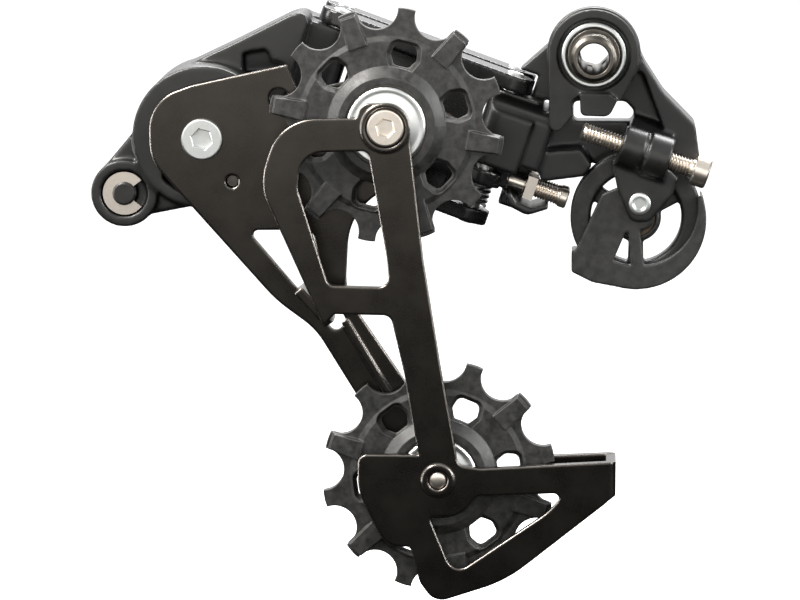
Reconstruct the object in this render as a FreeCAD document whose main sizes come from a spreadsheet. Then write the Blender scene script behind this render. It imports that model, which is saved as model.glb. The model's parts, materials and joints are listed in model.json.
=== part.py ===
import FreeCAD, Part
import math
import os

import Sketcher
from FreeCAD import Placement, Rotation, Vector

# Rear bicycle derailleur with a slanted parallelogram. The origin is on the mounting bolt's axis, in the face
# that meets the frame's hanger. +X points to the rear of the bicycle, +Y outboard, away from the wheel,
# and +Z up.

DIMENSIONS = {
    # pulley cage, seen along Y
    "cage_x": -84.5,
    "cage_z": -17.8,
    "upper_x": -44.3,
    "upper_z": -14.0,
    "lower_x": -33.0,
    "lower_z": -90.5,
    "inner_near": -18.0,
    "inner_far": -16.0,
    "outer_near": -8.0,
    "outer_far": -6.0,
    "pulley_mid": -12.0,
    "stop_pin_x": -78.0,
    "stop_pin_z": -27.0,
    "stop_pin_r": 1.45,
    # pulleys and their bearings
    "chain_pitch": 12.7,
    "tip_r": 25.3,
    "root_r": 20.65,
    "tooth_half": 1.0,
    "block_half": 2.0,
    "web_half": 1.5,
    "hub_half": 3.3,
    "hub_r": 11.2,
    "seat_r": 8.9,
    "race_half": 2.2,
    "race_split_r": 6.6,
    "ball_ring_r": 5.6,
    "ball_r": 0.97,
    "inner_race_r": 4.6,
    "sleeve_r": 3.0,
    "bolt_r": 2.5,
    "lower_bolt_r": 2.1,
    "bolt_head_r": 4.0,
    "cover_r": 8.5,
    "cover_in": 2.4,
    "cover_out": 4.0,
    # P-knuckle
    "knuckle_near": -5.0,
    "knuckle_far": 19.0,
    "housing_r": 15.5,
    "cavity_r": 13.0,
    "wall_far": -1.5,
    "axle_r": 6.0,
    "running_gap": 0.05,
    "screw_head_r": 4.5,
    "clevis_far": 31.4,
    "lock_x": -101.9,
    "lock_z": -30.2,
    "lock_r": 2.55,
    "lock_boss_r": 7.3,
    "cap_far": 23.2,
    # parallelogram, in the slanted frame: q runs rearward and down, p along the pins, upward
    "slant": 18.6,
    "q_rear": -14.5,
    "q_front": -55.0,
    "y_rear_inner": 6.0,
    "y_rear_outer": 19.0,
    "y_front_inner": 14.6,
    "y_front_outer": 27.6,
    "pin_r": 2.0,
    "barrel_r": 4.0,
    "ear_r": 4.5,
    "top_ear_high": -10.0,
    "ear_thick": 3.4,
    "outer_low": -45.5,
    "inner_low": -35.0,
    "open_pivot_gap": 0.3,
    # B-knuckle and mounting parts
    "b_near": 2.2,
    "b_far": 13.0,
    "b_barrel_r": 10.2,
    "bushing_r": 7.0,
    "mount_bolt_r": 5.0,
    "mount_bolt_bore_r": 2.55,
    "washer_thick": 1.9,
    "bushing_bore_r": 5.6,
    "b_screw_q": 12.0,
    "b_screw_p": -16.6,
    "b_screw_y": 1.4,
    "b_screw_r": 2.0,
    "b_boss_r": 4.6,
    "limit_p": -32.4,
    "limit_high_y": 6.0,
    "limit_low_y": 12.4,
    "limit_r": 1.9,
    # cable pulley and guide
    "wheel_x": 9.5,
    "wheel_z": -36.2,
    "wheel_r": 14.4,
    "wheel_near": 6.0,
    "wheel_far": 11.0,
    "journal_r": 3.2,
    "guide_near": 3.6,
    "guide_far": 12.4,
    "guide_pin_x": 10.2,
    "guide_pin_z": -32.3,
    "guide_pin_r": 1.5,
    "socket_r": 1.7,
    "socket_y": 8.5,
    "socket_z": -45.9,
}

doc = FreeCAD.newDocument("rear_derailleur")
sheet = doc.addObject("Spreadsheet::Sheet", "Sheet")
for row, (alias, value) in enumerate(DIMENSIONS.items(), start=1):
    sheet.set(f"A{row}", alias)
    sheet.set(f"B{row}", str(value))
    sheet.setAlias(f"B{row}", alias)
doc.recompute()

PARTS = []
ALONG_Y = Vector(0, 1, 0)


def dim(alias):
    """The value of one driving dimension."""
    return float(sheet.get(alias))


def at(alias, plus=0.0):
    """A coordinate bound to the sheet: the alias's value plus an offset."""
    return (dim(alias) + plus, f"Sheet.{alias} + {plus}")


def number(coordinate):
    """The plain value of a coordinate, bound or not."""
    return coordinate[0] if isinstance(coordinate, tuple) else coordinate


# ---------------------------------------------------------------- bodies, sketches and features


def new_body(label, x=0.0, y=0.0, z=0.0):
    """An empty body with its label and its place."""
    body = doc.addObject("PartDesign::Body", label)
    body.Label = label
    body.Placement = Placement(Vector(x, y, z), Rotation())
    PARTS.append(body)
    return body


def origin_plane(body, role):
    """The body's own origin plane with the given role."""
    for feature in body.Origin.OriginFeatures:
        if feature.Role == role:
            return feature
    raise ValueError(role)


def new_sketch(body, name, role, offset=None):
    """An empty sketch on one of the body's origin planes, moved by offset."""
    sketch = body.newObject("Sketcher::SketchObject", name)
    sketch.AttachmentSupport = (origin_plane(body, role), [""])
    sketch.MapMode = "FlatFace"
    if offset is not None:
        sketch.AttachmentOffset = offset
    return sketch


def side_sketch(body, name, level):
    """A sketch seen along +Y, in the plane Y = level; its pads grow towards -Y."""
    sketch = new_sketch(body, name, "XZ_Plane", Placement(Vector(0, 0, -number(level)), Rotation()))
    if isinstance(level, tuple):
        sketch.setExpression("AttachmentOffset.Base.z", f"-({level[1]})")
    return sketch


def slanted_sketch(body, name, height):
    """A sketch square to the parallelogram's pins, at height p; its pads grow upward along the pins."""
    slant = math.radians(dim("slant"))
    base = Vector(math.sin(slant) * height, 0, math.cos(slant) * height)
    return new_sketch(body, name, "XY_Plane", Placement(base, Rotation(ALONG_Y, dim("slant"))))


def across_sketch(body, name, q):
    """A sketch square to the q direction, at q, whose axes are Y and p; its pads grow rearward."""
    slant = math.radians(dim("slant"))
    base = Vector(0, -math.sin(slant) * q, math.cos(slant) * q)
    return new_sketch(body, name, "YZ_Plane", Placement(base, Rotation(Vector(1, 0, 0), dim("slant"))))


def slanted_point(q, y, p):
    """The place in the row frame of a point given in the slanted frame."""
    slant = math.radians(dim("slant"))
    x = q * math.cos(slant) + p * math.sin(slant)
    z = -q * math.sin(slant) + p * math.cos(slant)
    return Vector(x, y, z)


def add_circle(sketch, x, y, radius):
    """A circle whose radius follows the sheet when it is bound."""
    index = sketch.addGeometry(Part.Circle(Vector(x, y, 0), Vector(0, 0, 1), number(radius)))
    constraint = sketch.addConstraint(Sketcher.Constraint("Radius", index, number(radius)))
    if isinstance(radius, tuple):
        sketch.setExpression(f"Constraints[{constraint}]", radius[1])
    if abs(x) > 1e-6:
        sketch.addConstraint(Sketcher.Constraint("DistanceX", -1, 1, index, 3, x))
    else:
        sketch.addConstraint(Sketcher.Constraint("PointOnObject", index, 3, -2))
    if abs(y) > 1e-6:
        sketch.addConstraint(Sketcher.Constraint("DistanceY", -1, 1, index, 3, y))
    else:
        sketch.addConstraint(Sketcher.Constraint("PointOnObject", index, 3, -1))


def corner(before, point, after, radius):
    """The two ends and the middle of the arc that rounds one corner of an outline."""
    back = (before - point).normalize()
    ahead = (after - point).normalize()
    half = back.getAngle(ahead) / 2
    reach = radius / math.tan(half)
    inward = (back + ahead).normalize()
    centre = point + inward * (radius / math.sin(half))
    return point + back * reach, centre - inward * radius, point + ahead * reach


def outline_curves(points):
    """Lines and arcs through a closed list of (x, y) or (x, y, corner radius)."""
    vectors = [Vector(point[0], point[1], 0) for point in points]
    ends = []
    arcs = []
    for index, point in enumerate(points):
        here = vectors[index]
        radius = point[2] if len(point) > 2 else 0.0
        if radius > 0:
            start, middle, end = corner(vectors[index - 1], here, vectors[(index + 1) % len(points)], radius)
            arcs.append(Part.Arc(start, middle, end))
            ends.append((start, end))
        else:
            ends.append((here, here))
    curves = list(arcs)
    for index in range(len(points)):
        start = ends[index][1]
        end = ends[(index + 1) % len(points)][0]
        run = vectors[(index + 1) % len(points)] - vectors[index]
        if (end - start).dot(run) < -1e-6:
            raise ValueError(f"corner radii too large beside {points[index]}")
        if start.distanceToPoint(end) > 1e-4:
            curves.append(Part.LineSegment(start, end))
    return curves


def add_outline(sketch, points):
    """A closed outline of lines with rounded corners."""
    sketch.addGeometry(outline_curves(points))


def add_polygon(sketch, x, y, circle_r, sides, turn=0.0):
    """A regular polygon about (x, y)."""
    points = []
    for index in range(sides):
        angle = math.radians(turn + 360 * index / sides)
        points.append((x + circle_r * math.cos(angle), y + circle_r * math.sin(angle)))
    add_outline(sketch, points)


def pad(body, sketch, length, name="Pad", taper=0.0, outboard=False):
    """A pad along the sketch's normal, or against it when outboard, whose sides lean inward by the taper."""
    feature = body.newObject("PartDesign::Pad", name)
    feature.Profile = sketch
    feature.Length = number(length)
    feature.TaperAngle = -taper
    feature.Reversed = outboard
    if isinstance(length, tuple):
        feature.setExpression("Length", length[1])
    doc.recompute()
    return feature


def cut(body, sketch, length, name="Pocket", through=False, inboard=False, taper=0.0):
    """A pocket towards +Y, or -Y when inboard, narrowing by the taper, checked to have removed material."""
    before = body.Shape.Volume
    feature = body.newObject("PartDesign::Pocket", name)
    feature.Profile = sketch
    feature.Length = number(length)
    if isinstance(length, tuple):
        feature.setExpression("Length", length[1])
    if through:
        feature.Type = "ThroughAll"
        feature.Midplane = True
    feature.Reversed = inboard
    feature.TaperAngle = -taper
    doc.recompute()
    if body.Shape.Volume > before - 1e-3:
        raise RuntimeError(f"{body.Label}: {name} cut nothing")
    return feature


def soften(body, radius, wanted, feature_type="PartDesign::Fillet"):
    """A fillet or chamfer on the edges of the body that the test picks."""
    base = body.Tip
    names = []
    for index, edge in enumerate(base.Shape.Edges, start=1):
        if wanted(edge):
            names.append(f"Edge{index}")
    feature = body.newObject(feature_type, "Soft")
    feature.Base = (base, names)
    if feature_type == "PartDesign::Fillet":
        feature.Radius = radius
    else:
        feature.Size = radius
    doc.recompute()
    return feature


def closed_profile(sketch, points):
    """A closed polygon with every corner placed by a constraint, bound to the sheet where the point is."""
    count = len(points)
    vectors = [Vector(number(x), number(y), 0) for x, y in points]
    first = len(sketch.Geometry)
    for index in range(count):
        sketch.addGeometry(Part.LineSegment(vectors[index], vectors[(index + 1) % count]))
    for index in range(count):
        sketch.addConstraint(
            Sketcher.Constraint("Coincident", first + index, 2, first + (index + 1) % count, 1)
        )
    for index, point in enumerate(points):
        for kind, coordinate, axis in (("DistanceX", point[0], -2), ("DistanceY", point[1], -1)):
            if abs(number(coordinate)) < 1e-6:
                sketch.addConstraint(Sketcher.Constraint("PointOnObject", first + index, 1, axis))
                continue
            placed = Sketcher.Constraint(kind, -1, 1, first + index, 1, number(coordinate))
            constraint = sketch.addConstraint(placed)
            if isinstance(coordinate, tuple):
                sketch.setExpression(f"Constraints[{constraint}]", coordinate[1])


def turn(body, points, name="Turned"):
    """Revolves a closed (radius, y) profile about the body's Y axis."""
    sketch = new_sketch(body, f"{name}Profile", "XY_Plane")
    closed_profile(sketch, points)
    feature = body.newObject("PartDesign::Revolution", name)
    feature.Profile = sketch
    feature.ReferenceAxis = (sketch, ["V_Axis"])
    feature.Angle = 360.0
    doc.recompute()
    return feature


def ring(label, x, z, inner_r, outer_r, near, far):
    """A plain round sleeve about an axis along Y."""
    body = new_body(label, x, 0, z)
    turn(body, [(inner_r, near), (outer_r, near), (outer_r, far), (inner_r, far)])
    return body


def hex_socket(body, x, z, across, near, depth):
    """A hexagonal socket that opens towards -Y at the level near."""
    sketch = side_sketch(body, "Socket", near)
    add_polygon(sketch, x, z, across / math.sqrt(3), 6, 20)
    return cut(body, sketch, depth, "SocketPocket")


def polar(body, features, sketch, count, name):
    """Repeats features about the normal axis of the sketch."""
    pattern = body.newObject("PartDesign::PolarPattern", name)
    pattern.Originals = features
    pattern.Axis = (sketch, ["N_Axis"])
    pattern.Angle = 360.0
    pattern.Occurrences = count
    body.Tip = pattern
    doc.recompute()
    return pattern


def plain_feature(label, shape):
    """A part whose shape is set by Part's own functions."""
    feature = doc.addObject("Part::Feature", label)
    feature.Label = label
    feature.Shape = shape
    feature.Placement = Placement()
    PARTS.append(feature)
    return feature


# ---------------------------------------------------------------- pulleys


def pulley_outline(teeth, turn_angle):
    """Tooth tips joined by round valleys; each valley's arc meets the tips at tip_r."""
    tip_half = math.radians(4.3)
    step = 2 * math.pi / teeth
    curves = []
    for index in range(teeth):
        middle = math.radians(turn_angle) + index * step
        left = middle - tip_half
        right = middle + tip_half
        valley = middle + step / 2
        start = Vector(dim("tip_r") * math.cos(left), dim("tip_r") * math.sin(left), 0)
        crown = Vector((dim("tip_r") + 0.1) * math.cos(middle), (dim("tip_r") + 0.1) * math.sin(middle), 0)
        end = Vector(dim("tip_r") * math.cos(right), dim("tip_r") * math.sin(right), 0)
        bottom = Vector(dim("root_r") * math.cos(valley), dim("root_r") * math.sin(valley), 0)
        following = valley + step / 2 - tip_half
        next_start = Vector(dim("tip_r") * math.cos(following), dim("tip_r") * math.sin(following), 0)
        curves.append(Part.Arc(start, crown, end))
        curves.append(Part.Arc(end, bottom, next_start))
    return curves


def pulley(label, x, z, first_tooth):
    """A narrow-wide jockey wheel: every second tooth is wide, with a window under each narrow one."""
    body = new_body(label, x, dim("pulley_mid"), z)
    tooth = dim("tooth_half")
    teeth = 12
    sketch = side_sketch(body, "Teeth", at("tooth_half"))
    sketch.addGeometry(pulley_outline(teeth, first_tooth))
    pad(body, sketch, (2 * tooth, "2 * Sheet.tooth_half"), "ToothPlate")
    web, hub = dim("web_half"), dim("hub_half")
    turn(
        body,
        [
            (at("seat_r"), -hub),
            (at("hub_r", -0.7), at("hub_half", 0)[0] * -1),
            (at("hub_r"), 0.6 - hub),
            (at("hub_r", 1.6), -web),
            (at("root_r", -2.6), -web),
            (at("root_r", -1.4), -tooth),
            (at("root_r", -1.4), tooth),
            (at("root_r", -2.6), web),
            (at("hub_r", 1.6), web),
            (at("hub_r"), hub - 0.6),
            (at("hub_r", -0.7), hub),
            (at("seat_r"), hub),
        ],
        "Hub",
    )
    seat = side_sketch(body, "Seat", 0.0)
    add_circle(seat, 0, 0, at("seat_r"))
    cut(body, seat, 10, "SeatBore", through=True)
    middle = math.radians(first_tooth + 30)
    block = side_sketch(body, "WideTooth", 0.0)
    add_turned_outline(block, middle, [(17.2, 2.6, 0.4), (24.9, 2.1, 0.4)])
    blocks = []
    for side in (False, True):
        blocks.append(pad(body, block, at("block_half"), "WideBlock", 14.0, side))
    polar(body, blocks, block, 6, "WideBlocks")
    slot = math.radians(first_tooth - 4)
    cuts = []
    for name, level, inboard in (("Near", -web, False), ("Far", web, True)):
        funnel = side_sketch(body, f"{name}Funnel", level)
        add_turned_outline(funnel, slot, [(11.9, 2.3, 1.4), (15.0, 3.8, 1.8), (18.9, 3.3, 2.0)])
        cuts.append(cut(body, funnel, 1.2, f"{name}FunnelCut", inboard=inboard, taper=35.0))
    window = side_sketch(body, "Window", 0.0)
    add_turned_outline(window, slot, [(12.9, 1.6, 1.0), (15.0, 2.9, 1.2), (17.8, 2.4, 1.4)])
    cuts.append(cut(body, window, 10, "WindowCut", through=True))
    polar(body, cuts, window, 6, "Windows")
    return body


def add_turned_outline(sketch, angle, halves):
    """An outline symmetric about a spoke at an angle: (radius, half width, rounding) from the hub outward."""
    points = []
    mirrored = [(radius, -half, rounding) for radius, half, rounding in reversed(halves)]
    for radius, across, rounding in halves + mirrored:
        x = radius * math.cos(angle) - across * math.sin(angle)
        y = radius * math.sin(angle) + across * math.cos(angle)
        points.append((x, y, rounding))
    add_outline(sketch, points)


def bearing_and_covers(name, x, z):
    """The races, balls and dust covers of one pulley."""
    mid = dim("pulley_mid")
    race = dim("race_half")
    ring(f"{name}_outer_race", x, z, at("race_split_r"), at("seat_r"), mid - race, mid + race)
    ring(f"{name}_inner_race", x, z, at("sleeve_r"), at("inner_race_r"), mid - race, mid + race)
    balls = []
    for index in range(9):
        angle = 2 * math.pi * index / 9
        centre = Vector(
            x + dim("ball_ring_r") * math.cos(angle), mid, z + dim("ball_ring_r") * math.sin(angle)
        )
        balls.append(Part.makeSphere(dim("ball_r"), centre))
    plain_feature(f"{name}_balls", Part.makeCompound(balls))
    covers = new_body(f"{name}_near_cover", x, 0, z)
    cover_profile(covers, -1)
    covers = new_body(f"{name}_far_cover", x, 0, z)
    cover_profile(covers, 1)


def cover_profile(body, side):
    """A pressed dust cover: a raised hub, a step ring and a rolled rim."""
    mid = dim("pulley_mid")
    face = dim("cover_out")
    back = dim("cover_in")
    steps = [
        (at("sleeve_r"), mid + side * back),
        (at("cover_r"), mid + side * back),
        (at("cover_r"), mid + side * (face - 0.9)),
        (at("cover_r", -0.5), mid + side * (face - 0.5)),
        (at("cover_r", -2.2), mid + side * (face - 0.5)),
        (at("cover_r", -2.5), mid + side * face),
        (at("sleeve_r"), mid + side * face),
    ]
    turn(body, steps, "Cover")


def pulley_hardware():
    """The bolts that carry the two pulleys and the sleeves that their inner races sit on."""
    near, far = dim("inner_near"), dim("outer_far")
    body = new_body("upper_pulley_bolt", dim("upper_x"), 0, dim("upper_z"))
    turn(
        body,
        [
            (0, near - 0.7),
            (at("bolt_head_r", -0.4), near - 0.7),
            (at("bolt_head_r"), near - 0.3),
            (at("bolt_head_r"), near + 0.8),
            (at("bolt_r"), near + 0.8),
            (at("bolt_r"), far),
            (0, far),
        ],
    )
    hex_socket(body, 0, 0, 3.0, near - 0.7, 1.6)
    body = new_body("lower_pulley_bolt", dim("lower_x"), 0, dim("lower_z"))
    turn(
        body,
        [
            (0, near - 0.3),
            (at("lower_bolt_r", -0.3), near - 0.3),
            (at("lower_bolt_r"), near),
            (at("lower_bolt_r"), far),
            (at("bolt_head_r"), far),
            (at("bolt_head_r"), far + 1.0),
            (at("bolt_head_r", -0.4), far + 1.4),
            (0, far + 1.4),
        ],
    )
    socket = side_sketch(body, "Socket", far + 1.4)
    add_polygon(socket, 0, 0, 3.0 / math.sqrt(3), 6, 20)
    cut(body, socket, 1.2, "SocketPocket", inboard=True)
    inner, outer = dim("inner_far"), dim("outer_near")
    ring("upper_pulley_sleeve", dim("upper_x"), dim("upper_z"), at("bolt_r"), at("sleeve_r"), inner, outer)
    ring("lower_pulley_sleeve", dim("lower_x"), dim("lower_z"), at("lower_bolt_r"), at("sleeve_r"), inner, outer)


# ---------------------------------------------------------------- cage plates


def inner_cage_plate():
    """The plate next to the wheel: a hooked head, a long bar and the guard round the lower pulley."""
    body = new_body("inner_cage_plate")
    far = at("inner_far")
    thick = (2.0, "Sheet.inner_far - Sheet.inner_near")
    plate = side_sketch(body, "Plate", far)
    add_outline(
        plate,
        [
            (-39.2, -8.7, 5.2),
            (-49.6, -8.9, 2.4),
            (-50.4, -12.0, 0.8),
            (-66.8, -12.4, 10.5),
            (-71.3, -26.4, 12.0),
            (-57.6, -57.0, 0.5),
            (-55.2, -54.3, 0.5),
            (-43.2, -54.5, 2.0),
            (-40.3, -67.0, 8.0),
            (-37.2, -85.0),
            (-50.2, -85.0, 2.0),
            (-50.4, -93.0, 14.0),
            (-44.2, -105.2, 5.0),
            (-39.0, -105.2, 1.0),
            (-36.9, -113.0, 4.0),
            (-33.6, -117.6, 4.0),
            (-18.2, -112.5, 30.0),
            (4.3, -94.4, 3.0),
            (4.3, -86.2),
            (-23.9, -87.9, 8.0),
            (-28.6, -87.2, 1.5),
            (-32.4, -66.0, 3.0),
            (-36.2, -42.4, 40.0),
            (-39.0, -18.0, 6.0),
        ],
    )
    pad(body, plate, thick, "PlatePad")
    windows = side_sketch(body, "Windows", far)
    add_outline(
        windows,
        [
            (-48.0, -19.0, 1.6),
            (-62.4, -19.4, 5.5),
            (-63.2, -27.2, 6.0),
            (-56.6, -48.2, 1.8),
            (-43.4, -48.5, 2.2),
            (-44.2, -41.0, 20.0),
        ],
    )
    guard_window = [
        (-24.6, -93.9, 1.2),
        (-5.2, -93.0, 1.2),
        (-9.4, -97.6, 16.0),
        (-29.6, -111.6, 3.0),
        (-35.0, -98.4, 0.8),
        (-28.4, -98.6, 6.0),
    ]
    add_outline(windows, guard_window)
    cut(body, windows, 5, "WindowCut", through=True)
    wall = side_sketch(body, "SideWall", at("outer_far"))
    add_outline(wall, [(3.3, -95.0), (5.4, -93.6), (5.4, -86.1), (3.3, -86.3)])
    pad(body, wall, (12.0, "Sheet.outer_far - Sheet.inner_near"), "WallPad")
    back = side_sketch(body, "BackLeg", at("outer_far"))
    add_outline(back, [(5.4, -86.1), (-13.0, -87.0, 2.0), (-13.0, -91.6, 2.0), (5.4, -93.6)])
    pad(body, back, 2.0, "BackPad")
    soften(body, 1.9, lambda edge: is_post(edge, 5.4))
    bridge = side_sketch(body, "Bridge", at("outer_near"))
    add_outline(bridge, [(-64.0, -50.2), (-62.4, -48.9), (-55.6, -56.2), (-57.4, -57.6)])
    pad(body, bridge, (8.0, "Sheet.outer_near - Sheet.inner_far"), "BridgePad")
    boss = side_sketch(body, "Bosses", at("inner_near"))
    add_circle(boss, dim("upper_x"), dim("upper_z"), 5.3)
    add_circle(boss, dim("lower_x"), dim("lower_z"), 3.5)
    pad(body, boss, 0.3, "BossPad")
    recess = side_sketch(body, "Recess", at("inner_near", -0.3))
    add_circle(recess, dim("upper_x"), dim("upper_z"), at("bolt_head_r", 0.35))
    cut(body, recess, 1.1, "RecessCut")
    holes = side_sketch(body, "Holes", far)
    add_circle(holes, dim("upper_x"), dim("upper_z"), at("bolt_r"))
    add_circle(holes, dim("lower_x"), dim("lower_z"), at("lower_bolt_r"))
    cut(body, holes, 5, "HoleCut", through=True)
    return body


def is_post(edge, x):
    """True for an upright edge of the guard's side wall at the given X."""
    box = edge.BoundBox
    upright = box.ZLength > 5 and box.YLength < 0.01
    return upright and abs(box.XMin - x) < 0.01 and abs(box.XMax - x) < 0.01


def outer_cage_plate():
    """The plate next to the P-knuckle: a broad head, an arm to the upper pulley and two legs."""
    body = new_body("outer_cage_plate")
    far = at("outer_far")
    plate = side_sketch(body, "Plate", far)
    add_outline(
        plate,
        [
            (-66.0, -1.6, 0.6),
            (-86.6, -6.2, 10.0),
            (-96.0, -9.6, 9.0),
            (-95.8, -22.4, 10.0),
            (-68.6, -52.9, 30.0),
            (-60.0, -59.2, 16.0),
            (-47.5, -79.5, 30.0),
            (-40.6, -97.0, 7.0),
            (-25.0, -99.0, 8.0),
            (-25.2, -83.6, 6.0),
            (-36.6, -76.4, 9.0),
            (-53.6, -51.5, 14.0),
            (-52.6, -33.5, 14.0),
            (-34.6, -22.0, 8.0),
            (-35.6, -5.4, 8.0),
            (-50.0, -4.4, 6.0),
            (-63.6, -7.6, 1.5),
        ],
    )
    pad(body, plate, (2.0, "Sheet.outer_far - Sheet.outer_near"), "PlatePad")
    window = side_sketch(body, "Window", far)
    add_outline(
        window,
        [
            (-74.9, -37.6, 1.2),
            (-60.6, -37.4, 2.0),
            (-58.6, -47.0, 12.0),
            (-53.2, -57.4, 1.3),
            (-55.6, -60.2, 1.4),
        ],
    )
    add_circle(window, -67.8, -8.9, 2.2)
    cut(body, window, 5, "WindowCut", through=True)
    rib = side_sketch(body, "Rib", at("outer_near"))
    add_outline(rib, [(-54.4, -57.6, 0.4), (-53.0, -56.8, 0.4), (-43.2, -73.2, 0.4), (-44.6, -74.0, 0.4)])
    pad(body, rib, 0.9, "RibPad")
    holes = side_sketch(body, "Holes", far)
    add_circle(holes, dim("cage_x"), dim("cage_z"), 3.0)
    add_circle(holes, dim("stop_pin_x"), dim("stop_pin_z"), at("stop_pin_r"))
    add_circle(holes, dim("upper_x"), dim("upper_z"), at("bolt_r"))
    add_circle(holes, dim("lower_x"), dim("lower_z"), at("lower_bolt_r"))
    cut(body, holes, 5, "HoleCut", through=True)
    return body


def cage_pivot_parts():
    """The axle that carries the cage, its screw and its stop pin."""
    x, z = dim("cage_x"), dim("cage_z")
    near, far = dim("outer_near"), dim("outer_far")
    body = new_body("cage_pivot_screw", x, 0, z)
    turn(
        body,
        [
            (0, near - 0.9),
            (at("screw_head_r", -0.5), near - 0.9),
            (at("screw_head_r"), near - 0.5),
            (at("screw_head_r"), near),
            (3.0, near),
            (3.0, far + 8),
            (0, far + 8),
        ],
    )
    hex_socket(body, 0, 0, 4.0, near - 0.9, 2.4)
    body = new_body("cage_axle", x, 0, z)
    turn(
        body,
        [
            (3.0, far),
            (at("axle_r", 1.6), far),
            (at("axle_r", 1.6), far + 0.8),
            (at("axle_r"), far + 0.8),
            (at("axle_r"), at("knuckle_far", -3.0)),
            (0, at("knuckle_far", -3.0)),
            (0, far + 8.2),
            (3.0, far + 8.2),
        ],
    )
    body = new_body("cage_stop_pin", dim("stop_pin_x"), 0, dim("stop_pin_z"))
    turn(
        body,
        [
            (0, near + 1.1),
            (at("stop_pin_r", -0.25), near + 1.1),
            (at("stop_pin_r"), near + 1.4),
            (at("stop_pin_r"), 0.6),
            (0, 0.6),
        ],
    )


# ---------------------------------------------------------------- P-knuckle


def stadium(sketch, q_wall, q_pin, y, half):
    """A wall that ends in a half round about a pin, seen along the pin."""
    sign = 1 if q_pin > q_wall else -1
    tip = Vector(q_pin + sign * half, y, 0)
    low, high = Vector(q_pin, y - half, 0), Vector(q_pin, y + half, 0)
    wall_low, wall_high = Vector(q_wall, y - half, 0), Vector(q_wall, y + half, 0)
    sketch.addGeometry(
        [
            Part.LineSegment(wall_low, low),
            Part.Arc(low, tip, high),
            Part.LineSegment(high, wall_high),
            Part.LineSegment(wall_high, wall_low),
        ]
    )


def p_knuckle():
    """The forward knuckle: damper housing, arm to the parallelogram and boss of the cage lock."""
    body = new_body("p_knuckle")
    x, z = dim("cage_x"), dim("cage_z")
    housing = side_sketch(body, "Housing", at("knuckle_far"))
    add_circle(housing, x, z, at("housing_r"))
    pad(body, housing, (24.0, "Sheet.knuckle_far - Sheet.knuckle_near"), "HousingPad")
    arm = side_sketch(body, "Arm", at("knuckle_far"))
    top_edge = [(-78.5, 1.9, 12.0), (-66.4, 8.0, 8.0), (-61.2, 9.4, 2.0)]
    add_outline(arm, [(-91.3, -4.2)] + top_edge + [(-72.3, -25.0, 2.0), (-80.0, -30.0)])
    pad(body, arm, 14.5, "ArmPad")
    for name, y, low, high in (
        ("Inner", dim("y_front_inner"), -31.2, -13.8),
        ("Outer", dim("y_front_outer"), -41.7, -13.8),
    ):
        barrel = slanted_sketch(body, f"{name}Barrel", low)
        stadium(barrel, dim("q_front") - 7.0, dim("q_front"), y, dim("barrel_r"))
        pad(body, barrel, high - low, f"{name}BarrelPad")
    clevis = side_sketch(body, "Clevis", at("clevis_far"))
    add_outline(
        clevis,
        [(-73.2, 0.0, 3.0), (-72.0, 4.0, 1.0), (-66.4, 6.9, 8.0), (-61.6, 8.2, 2.0), (-65.9, -5.6, 2.0)],
    )
    pad(body, clevis, 22.0, "ClevisPad")
    lock_arm = side_sketch(body, "LockArm", 8.0)
    add_outline(
        lock_arm,
        [
            (-107.6, -26.0, 3.0),
            (-100.4, -17.4, 5.0),
            (-95.6, -8.8),
            (-82.0, -32.0),
            (-88.4, -33.4, 2.0),
            (-96.4, -35.0, 1.5),
            (-99.0, -37.0),
        ],
    )
    pad(body, lock_arm, 11.0, "LockArmPad")
    lock_boss = side_sketch(body, "LockBoss", 9.0)
    add_circle(lock_boss, dim("lock_x"), dim("lock_z"), at("lock_boss_r"))
    pad(body, lock_boss, 13.6, "LockBossPad")
    knuckle_cuts(body, x, z)
    return body


def knuckle_cuts(body, x, z):
    """The housing's cavity and bores, the stop slot and the pockets of the P-knuckle."""
    cavity = side_sketch(body, "Cavity", at("wall_far"))
    add_circle(cavity, x, z, at("cavity_r"))
    cut(body, cavity, (20.5, "Sheet.knuckle_far - Sheet.wall_far"), "CavityCut")
    bores = side_sketch(body, "Bores", 0.0)
    add_circle(bores, x, z, at("axle_r", dim("running_gap")))
    add_circle(bores, dim("lock_x"), dim("lock_z"), at("lock_r", 0.05))
    cut(body, bores, 60, "BoreCut", through=True)
    pocket = side_sketch(body, "ArmPocket", 4.5)
    add_outline(
        pocket,
        [
            (-76.7, -0.3, 1.0),
            (-71.3, 0.6, 1.2),
            (-70.2, -2.0, 1.2),
            (-67.4, -2.6, 0.8),
            (-67.4, -4.8, 0.8),
            (-76.6, -5.0, 0.8),
        ],
    )
    cut(body, pocket, 4.0, "ArmPocketCut")
    slot = side_sketch(body, "StopSlot", 0.0)
    add_stop_slot(slot, x, z)
    cut(body, slot, 8, "SlotCut", inboard=True)
    recess = side_sketch(body, "ClipRecess", -5.2)
    add_circle(recess, dim("lock_x"), dim("lock_z"), 5.1)
    cut(body, recess, 2.2, "RecessCut")
    spring = side_sketch(body, "SpringPocket", 2.0)
    add_circle(spring, dim("lock_x"), dim("lock_z"), 4.4)
    cut(body, spring, 12, "SpringCut")
    for name, y, radius in (
        ("Inner", dim("y_front_inner"), dim("pin_r") + dim("open_pivot_gap")),
        ("Outer", dim("y_front_outer"), dim("pin_r") + dim("running_gap")),
    ):
        bore = slanted_sketch(body, f"{name}Bore", -28.0)
        add_circle(bore, dim("q_front"), y, radius)
        cut(body, bore, 60, f"{name}BoreCut", through=True)


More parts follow.
